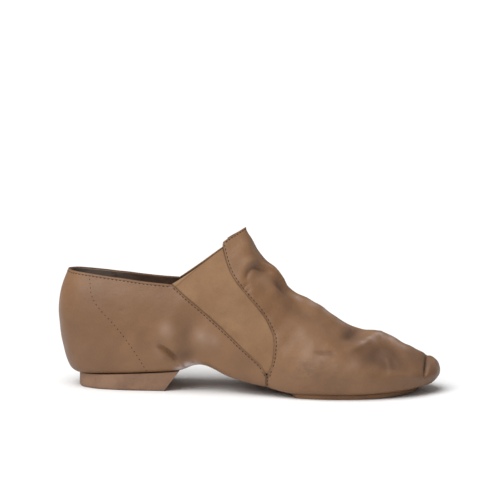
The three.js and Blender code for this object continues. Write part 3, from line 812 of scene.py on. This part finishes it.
stitchInside = {"collar": 1.8, "rear": 1.2, "front": 1.3, "throat": 1.4}  # from each edge, in millimetres
thread = {
    "wide": 0.62 * mm,
    "sunk": 0.12 * mm,
    "pitch": 2.6 * mm,
    "long": 1.7 * mm,
    "counterPitch": 3.0 * mm,
    "counterLong": 1.25 * mm,
    "aheadOfSeam": 0.6 * mm,
    "lineStep": 1.5 * mm,
    "sides": 6,
    "rings": 5,
    "brown": tone(72, 49, 35),
    "dark": tone(50, 34, 25),
    "roughness": 0.95,
}


def insideBy(name):  # how far the stitches of an edge lie inside it
    return stitchInside[name.split("_")[0]] * mm


def marked(mesh, height, seams):  # numbers on each point that the finishes read
    points = pointsOf(mesh)
    reach = upper["markReach"]
    edge = np.full(len(points), reach)
    for line in edgeLines.values():
        edge = np.minimum(edge, nearLine(points, smoothLine(line), reach))
    seam = np.min([nearLine(points, line, reach) for line in seams], axis=0)
    row = np.full(len(points), reach)
    for name, line in edgeLines.items():
        beyond = nearLine(points, smoothLine(line), reach) - insideBy(name)
        row = np.where(np.abs(beyond) < np.abs(row), beyond, row)
    setMark(mesh, "edge", edge / mm)
    setMark(mesh, "seam", seam / mm)
    setMark(mesh, "row", row / mm)
    setMark(mesh, "trough", np.maximum(0, -height) / mm)
    setMark(mesh, "ridge", np.maximum(0, height) / mm)
    for name, places in tintSpots.items():
        total = np.zeros(len(points))
        for place, wide, strong in places:
            gap = np.linalg.norm(points - np.array(spot(*place)), axis=1)
            total += strong * np.exp(-((gap / (wide * mm)) ** 2))
        setMark(mesh, name, np.clip(total, 0, 1))


def slackness(points):  # how far the leather swells, more on the vamp and less near the ground
    along = (points[:, 0] - lowCorner.x) / shoeLength
    front = smoothstep(along, *slack["joint"])
    size = slack["quarter"] + (slack["vamp"] - slack["quarter"]) * front
    low, high = slack["rise"]
    keep = smoothstep(points[:, 2], low * shoeHeight, high * shoeHeight)
    longSeed, shortSeed = slack["seeds"]
    swell = waves(points, slack["long"], longSeed)
    return size * keep * (swell + slack["shortShare"] * waves(points, slack["short"], shortSeed))


def folded(mesh, seams, isVamp):  # the points moved out and in by folds and slack, and lapped at the seam
    points = pointsOf(mesh)
    polygons = [list(p.vertices) for p in mesh.polygons if p.material_index == leatherSlot]
    tree = BVHTree.FromPolygons([Vector(p) for p in points], polygons)
    nearest = [tree.find_nearest(Vector(p)) for p in points]
    onSkin = np.array([found[0] for found in nearest])  # the lining and the rims follow the leather over them
    outward = np.array([found[1] for found in nearest])
    fromTip = np.linalg.norm(onSkin - np.array(toePole), axis=1)
    if isVamp:  # the small faces at the tip of the toe all go one way
        share = np.exp(-((fromTip / upper["toeTip"]) ** 2))[:, None]
        outward = outward * (1 - share) + outward[fromTip < upper["toeTip"]].mean(0) * share
        outward /= np.linalg.norm(outward, axis=1)[:, None]
    height = foldHeights(onSkin, folds, skinTree)
    marked(mesh, height, seams)
    distance = np.min([nearLine(points, line, upper["seamReach"] * 2) for line in seams], axis=0)
    nearSeam = 1 - smoothstep(distance, 0, upper["seamReach"])
    moved = points + outward * (height + slackness(onSkin))[:, None]
    if isVamp:
        atSeam = 1 - smoothstep(distance, 0, upper["overlapReach"])
        moved[:, 0] -= atSeam * upper["seamOverlap"]
    else:
        moved -= outward * (nearSeam * upper["seamSink"])[:, None]
    # nothing sinks into the ground
    moved[:, 2] = np.maximum(moved[:, 2], np.minimum(points[:, 2], upper["lowest"]))
    mesh.vertices.foreach_set("co", moved.ravel())
    bm = bmesh.new()
    bm.from_mesh(mesh)
    smoothToe(bm, upper["toeTip"], upper["tipRounds"])
    bm.to_mesh(mesh)


# The line of the counter's stitches, from the collar down to the arch
counterLine = [
    (0.089, 0.43, 0.69),
    (0.09, 0.45, 0.668),
    (0.093, 0.49, 0.64),
    (0.096, 0.53, 0.6),
    (0.109, 0.58, 0.538),
    (0.133, 0.63, 0.474),
    (0.158, 0.655, 0.416),
    (0.184, 0.675, 0.344),
    (0.21, 0.665, 0.259),
    (0.23, 0.637, 0.184),
    (0.245, 0.55, 0.125),
]


def insideLine(line, inside):  # a line on the skin, inside an edge by a distance
    made = []
    for before, here, after in zip(line, line[1:], line[2:]):
        onSkin, normal, _, _ = skinTree.find_nearest(here)
        way = (after - before).normalized()
        across = normal.cross(way)
        trial = [skinTree.find_nearest(here + across * side * inside)[0] for side in (1, -1)]
        gaps = [min((p - q).length for q in line) for p in trial]
        made.append(trial[0] if gaps[0] > gaps[1] else trial[1])
    return made


stitchLines = {}
for name, line in edgeLines.items():
    stitchLines[name] = insideLine(smoothLine(line, thread["lineStep"]), insideBy(name))
for side, turn in sides.items():
    drawn = [skinTree.find_nearest(spot(along, out * turn, up))[0] for along, out, up in counterLine]
    stitchLines["counter_" + side] = smoothLine(drawn, thread["lineStep"])

seamEdges = []
for edge in shell.edges:
    faces = [f for f in edge.link_faces if f.material_index == leatherSlot]
    if len(faces) == 2 and inVamp(faces[0].calc_center_median()) != inVamp(faces[1].calc_center_median()):
        seamEdges.append(edge)
seamLines = chains(seamEdges)
print("seams", [len(line) for line in seamLines])
for i, line in enumerate(seamLines):
    ahead = [skinTree.find_nearest(p + Vector((thread["aheadOfSeam"], 0, 0)))[0] for p in line]
    stitchLines["seam_" + str(i)] = smoothLine(ahead, thread["lineStep"])

print("folding the upper")
leatherMaterial = leatherFinish()
liningMaterial = liningFinish()
edgeMaterial = turnedEdgeFinish()
upperPieces = {}
for name, isVamp in (("vamp", True), ("quarters", False)):
    mesh = refined(panel(isVamp), name, upper["levels"], leatherSlot)
    folded(mesh, [smoothLine(line) for line in seamLines], isVamp)
    piece = pieceObject(name, mesh, [leatherMaterial, liningMaterial, edgeMaterial])
    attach(piece, body)
    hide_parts("upper")
    upperPieces[name] = piece
    print(name, "points", len(mesh.vertices), "faces", len(mesh.polygons))


# Threads

def threadFinish():
    f = Finish("thread")
    twist = f.noise(0.5 * mm, 2)
    shade = f.blend(twist, thread["brown"], thread["dark"])
    return f.close({"Base Color": shade, "Roughness": thread["roughness"], "Specular IOR Level": 0.1})


def threads():  # a small bead along the leather for each stitch that shows
    points, polygons = [], []
    for piece in upperPieces.values():
        start = len(points)
        mesh = piece.data
        points += [v.co.copy() for v in mesh.vertices]
        skin = [p for p in mesh.polygons if p.material_index == leatherSlot]
        polygons += [[start + i for i in p.vertices] for p in skin]
    tree = BVHTree.FromPolygons(points, polygons)
    bm = bmesh.new()
    for name, line in stitchLines.items():
        pitch, long = thread["pitch"], thread["long"]
        if name.startswith("counter"):
            pitch, long = thread["counterPitch"], thread["counterLong"]
        walked = 0.0
        due = pitch / 2
        for here, there in zip(line, line[1:]):
            span = (there - here).length
            while walked + span >= due and span > 0:
                at = here.lerp(there, (due - walked) / span)
                onSkin, normal, _, _ = tree.find_nearest(at)
                way = (there - here).normalized()
                side = normal.cross(way).normalized()
                way = side.cross(normal)
                turn = Matrix((way, side, normal)).transposed().to_4x4()
                size = Matrix.Diagonal((long / 2, thread["wide"] / 2, thread["wide"] / 2, 1))
                put = Matrix.Translation(onSkin - normal * thread["sunk"]) @ turn @ size
                bmesh.ops.create_uvsphere(
                    bm, u_segments=thread["sides"], v_segments=thread["rings"], radius=1, matrix=put
                )
                due += pitch
            walked += span
    bmesh.ops.recalc_face_normals(bm, faces=bm.faces)
    mesh = bpy.data.meshes.new("threads")
    bm.to_mesh(mesh)
    piece = pieceObject("threads", mesh, [threadFinish()])
    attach(piece, body)
    print("threads: faces", len(mesh.polygons))


threads()


# Elastic gores

gore = {
    "tuck": 0.9 * mm,
    "reach": 4 * mm,
    "cornerReach": 6 * mm,
    "cornerTuck": 2.2 * mm,
    "levels": 2,
    "rimAngle": 50,
    "tan": tone(140, 108, 79),
    "brown": tone(130, 98, 71),
    "fleck": tone(98, 73, 54),
    "sewnShade": tone(62, 43, 31),
    "hemPale": tone(158, 128, 100),
    "hemLine": tone(84, 62, 46),
    "roughness": 0.86,
    "rib": 0.75 * mm,
    "ribScale": 0.314,
    "ribSlant": 38,
    "hemDown": 2.6,
    "stillEdge": (1.5, 8),
}
goreFolds = {
    "lateral": [
        fold(5, -1.1, (0.41, -0.8, 0.5), (0.46, -0.85, 0.47), (0.51, -0.85, 0.43), (0.55, -0.85, 0.38)),
        fold(6, 1.0, (0.42, -0.8, 0.43), (0.47, -0.85, 0.4), (0.52, -0.85, 0.35)),
        fold(7, -0.6, (0.36, -0.75, 0.66), (0.41, -0.75, 0.66), (0.46, -0.75, 0.62)),
    ],
    "medial": [
        fold(6, -1.0, (0.42, 0.75, 0.52), (0.47, 0.75, 0.46), (0.52, 0.8, 0.38)),
        fold(6, 0.7, (0.45, 0.75, 0.56), (0.5, 0.75, 0.5)),
    ],
}


def elasticFinish():
    f = Finish("elastic")
    cloud = f.noise(22 * mm, 4, 0.6)
    fleck = f.noise(0.7 * mm, 2)
    shade = f.blend(f.band(cloud, 0.35, 0.68), gore["brown"], gore["tan"])
    shade = f.blend(f.band(fleck, 0.45, 0.8) * 0.25, shade, gore["fleck"])
    edge = f.mark("edge")
    shade = f.blend((1 - f.band(edge, 0.0, 1.1)) * 0.6, shade, gore["sewnShade"])
    hem = f.mark("hem")
    shade = f.blend((1 - f.band(hem, 1.6, 2.0)) * 0.35, shade, gore["hemPale"])
    hemLine = 1 - f.band(f.absolute(hem - gore["hemDown"]), 0.1, 0.5)
    shade = f.blend(hemLine * 0.35, shade, gore["hemLine"])
    slanted = {"Vector": f.place(turn=(0, math.radians(gore["ribSlant"]), 0))}
    lines = f.add(
        "ShaderNodeTexWave",
        {"wave_type": "BANDS", "bands_direction": "X", "wave_profile": "SIN"},
        {**slanted, "Scale": gore["ribScale"] / gore["rib"], "Distortion": 0.6, "Detail": 2.0},
    )
    crossing = f.add(
        "ShaderNodeTexWave",
        {"wave_type": "BANDS", "bands_direction": "Z", "wave_profile": "SIN"},
        {**slanted, "Scale": gore["ribScale"] / (gore["rib"] * 0.7), "Distortion": 0.4},
    )
    bumps = f.bump(cloud, 0.8 * mm)
    bumps = f.bump(lines * 0.7 + crossing * 0.3, 0.07 * mm, bumps)
    rough = gore["roughness"]
    return f.close({"Base Color": shade, "Roughness": rough, "Specular IOR Level": 0.25, "Normal": bumps})


def sharpEdges(bm, angle):  # the edges where two faces meet at more than an angle
    return [e for e in bm.edges if len(e.link_faces) == 2 and e.calc_face_angle() > math.radians(angle)]


elasticMaterial = elasticFinish()
for side in sides:
    bm = cadCopy("gore_" + side)
    topEdge = smoothLine([cornerAt("notch", side), cornerAt("flap", side)])
    sewn = smoothLine(edgeLines["rear_" + side]) + smoothLine(edgeLines["front_" + side])
    corner = cornerAt("corner", side)
    for vert in {vert for edge in sharpEdges(bm, gore["rimAngle"]) for vert in edge.verts}:
        near = min(sewn, key=lambda p: (p - vert.co).length)
        gap = near - vert.co
        if gap.length < gore["reach"]:
            flat = Vector((gap.x, 0, gap.z))
            atCorner = max(0, 1 - (vert.co - corner).length / gore["cornerReach"])
            vert.co += flat.normalized() * (gore["tuck"] + atCorner * gore["cornerTuck"])
    creases = bm.edges.layers.float.new("crease_edge")
    for edge in sharpEdges(bm, gore["rimAngle"]):
        edge[creases] = upper["rimCrease"]
    name = "elastic_" + side
    mesh = refined(bm, name, gore["levels"])
    points = pointsOf(mesh)
    edge = np.full(len(points), upper["markReach"])
    for line in ("rear_" + side, "front_" + side):
        edge = np.minimum(edge, nearLine(points, smoothLine(edgeLines[line]), upper["markReach"]))
    setMark(mesh, "edge", edge / mm)
    fromTop = np.array(topEdge)[:, [0, 2]]
    hem = np.linalg.norm(points[:, None, [0, 2]] - fromTop[None], axis=2).min(1)
    setMark(mesh, "hem", hem / mm)
    lift = foldHeights(points, goreFolds[side], BVHTree.FromBMesh(bm))
    points[:, 1] += lift * smoothstep(edge / mm, *gore["stillEdge"]) * sides[side]
    mesh.vertices.foreach_set("co", points.ravel())
    piece = pieceObject(name, mesh, [elasticMaterial])
    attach(piece, body)
    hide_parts("gore_" + side)
print("gores made")


# Heel block, forefoot sole and insole

sole = {
    "heelBevel": 0.7 * mm,
    "treadBevel": 0.35 * mm,
    "sockBevel": 0.4 * mm,
    "bevelSteps": 3,
    "sharpAngle": 35,
    "heelRaised": 1.0 * mm,
    "treadRaised": 1.2 * mm,
    "facingUp": 0.5,
    "heelTan": tone(136, 104, 80),
    "heelBrown": tone(121, 91, 70),
    "heelFleck": tone(84, 61, 46),
    "heelLowTone": tone(82, 62, 49),
    "heelRoughness": 0.66,
    "treadTan": tone(134, 101, 75),
    "treadDark": tone(118, 88, 66),
    "treadFleck": tone(70, 53, 43),
    "treadRoughness": 0.88,
    "sockPale": tone(165, 146, 130),
    "sockBrown": tone(120, 94, 77),
    "sockFleck": tone(92, 70, 56),
    "sockRoughness": 0.8,
}


def heelFinish():
    f = Finish("heelRubber")
    cloud = f.noise(14 * mm, 4, 0.6)
    fleck = f.noise(1.1 * mm, 4, 0.7)
    shade = f.blend(f.band(cloud, 0.35, 0.68), sole["heelTan"], sole["heelBrown"])
    shade = f.blend(f.band(fleck, 0.5, 0.8) * 0.2, shade, sole["heelFleck"])
    down = f.add("ShaderNodeSeparateXYZ", {}, {0: f.place()}, output="Z")
    # darker towards the ground, in patches
    nearGround = (1 - f.band(down, 0.2 * mm, 2.4 * mm)) * f.band(f.noise(3 * mm, 4, 0.7), 0.35, 0.6)
    shade = f.blend(nearGround * 0.3, shade, sole["heelLowTone"])
    bumps = f.bump(cloud, 0.6 * mm)
    bumps = f.bump(fleck, 0.12 * mm, bumps)
    rough = sole["heelRoughness"] + (cloud - 0.5) * 0.15
    return f.close({"Base Color": shade, "Roughness": rough, "Normal": bumps})


def treadFinish():
    f = Finish("soleLeather")
    cloud = f.noise(12 * mm, 4, 0.6)
    nap = f.noise(0.8 * mm, 4, 0.7, stretch=(0.5, 1, 1))
    shade = f.blend(f.band(cloud, 0.3, 0.7), sole["treadTan"], sole["treadDark"])
    shade = f.blend(f.band(nap, 0.45, 0.8) * 0.3, shade, sole["treadFleck"])
    bumps = f.bump(nap, 0.16 * mm)
    rough = sole["treadRoughness"]
    return f.close({"Base Color": shade, "Roughness": rough, "Specular IOR Level": 0.25, "Normal": bumps})


def sockFinish():
    f = Finish("insoleLeather")
    cloud = f.noise(16 * mm, 4, 0.6)
    nap = f.noise(0.9 * mm, 3, 0.6)
    shade = f.blend(f.band(cloud, 0.35, 0.65), sole["sockPale"], sole["sockBrown"])
    shade = f.blend(f.band(nap, 0.5, 0.8) * 0.2, shade, sole["sockFleck"])
    bumps = f.bump(cloud, 0.4 * mm)
    bumps = f.bump(nap, 0.08 * mm, bumps)
    rough = sole["sockRoughness"]
    return f.close({"Base Color": shade, "Roughness": rough, "Specular IOR Level": 0.3, "Normal": bumps})


def bevelled(node, name, finish, offset, raised=0.0):  # rounded edges, and the hidden top raised
    bm = cadCopy(node)
    for vert in bm.verts:
        if raised and max(face.normal.z for face in vert.link_faces) > sole["facingUp"]:
            vert.co.z += raised
    bmesh.ops.bevel(
        bm,
        geom=sharpEdges(bm, sole["sharpAngle"]),
        offset=offset,
        affect="EDGES",
        segments=sole["bevelSteps"],
        profile=0.5,
        material=-1,
        clamp_overlap=True,
    )
    mesh = bpy.data.meshes.new(name)
    bm.to_mesh(mesh)
    piece = pieceObject(name, mesh, [finish])
    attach(piece, body)
    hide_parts(node)
    print(name, "faces", len(mesh.polygons))


bevelled("heel", "heelBlock", heelFinish(), sole["heelBevel"], sole["heelRaised"])
bevelled("tread", "forefootSole", treadFinish(), sole["treadBevel"], sole["treadRaised"])
bevelled("insole", "sock", sockFinish(), sole["sockBevel"])


# Floor, light and camera

studio = {
    "floorTone": (0.84, 0.84, 0.84, 1),
    "floorRoughness": 0.9,
    "floorSize": 12.0,
    "sky": 0.3,
    "topFrom": (-0.3, -0.2, 1.0),
    "topSoft": 50,
    "topStrength": 2.4,
    "keyFrom": (-0.52, -0.92, 0.85),
    "keySoft": 40,
    "keyStrength": 1.45,
    "cameraAt": (0.2708, -2.1703, 0.3954),
    "cameraAim": (0.08094, 0.0, 0.08918),
    "lens": 246.15,
    "sensor": 36,
    "farthest": 30,
    "roll": 0.5,
}


def aimed(thing, at, aim, roll=0.0):  # a light or the camera, turned to look from one place at another
    thing.location = at
    way = Vector(aim) - Vector(at)
    turn = way.to_track_quat("-Z", "Y").to_matrix() @ Matrix.Rotation(math.radians(roll), 3, "Z")
    thing.rotation_euler = turn.to_euler()


def softLight(name, way, soft, strength):
    light = bpy.data.lights.new(name, "SUN")
    light.angle = math.radians(soft)
    light.energy = strength
    lamp = bpy.data.objects.new(name, light)
    bpy.context.scene.collection.objects.link(lamp)
    aimed(lamp, way, (0, 0, 0))


bm = bmesh.new()
bmesh.ops.create_grid(bm, x_segments=1, y_segments=1, size=studio["floorSize"] / 2)
floorMesh = bpy.data.meshes.new("floor")
bm.to_mesh(floorMesh)
floorLook = {"Base Color": studio["floorTone"], "Roughness": studio["floorRoughness"]}
floor = pieceObject("floor", floorMesh, [Finish("paleFloor").close(floorLook)])

world = bpy.data.worlds.new("studio")
bpy.context.scene.world = world
world.use_nodes = True
sky = world.node_tree.nodes["Background"].inputs
sky["Color"].default_value = (1, 1, 1, 1)
sky["Strength"].default_value = studio["sky"]
softLight("topLight", studio["topFrom"], studio["topSoft"], studio["topStrength"])
softLight("keyLight", studio["keyFrom"], studio["keySoft"], studio["keyStrength"])

camera = bpy.data.objects.new("camera", bpy.data.cameras.new("camera"))
bpy.context.scene.collection.objects.link(camera)
camera.data.lens = studio["lens"]
camera.data.sensor_width = studio["sensor"]
camera.data.clip_end = studio["farthest"]
aimed(camera, studio["cameraAt"], studio["cameraAim"], studio["roll"])
bpy.context.scene.camera = camera
bpy.context.scene.view_settings.view_transform = "Standard"
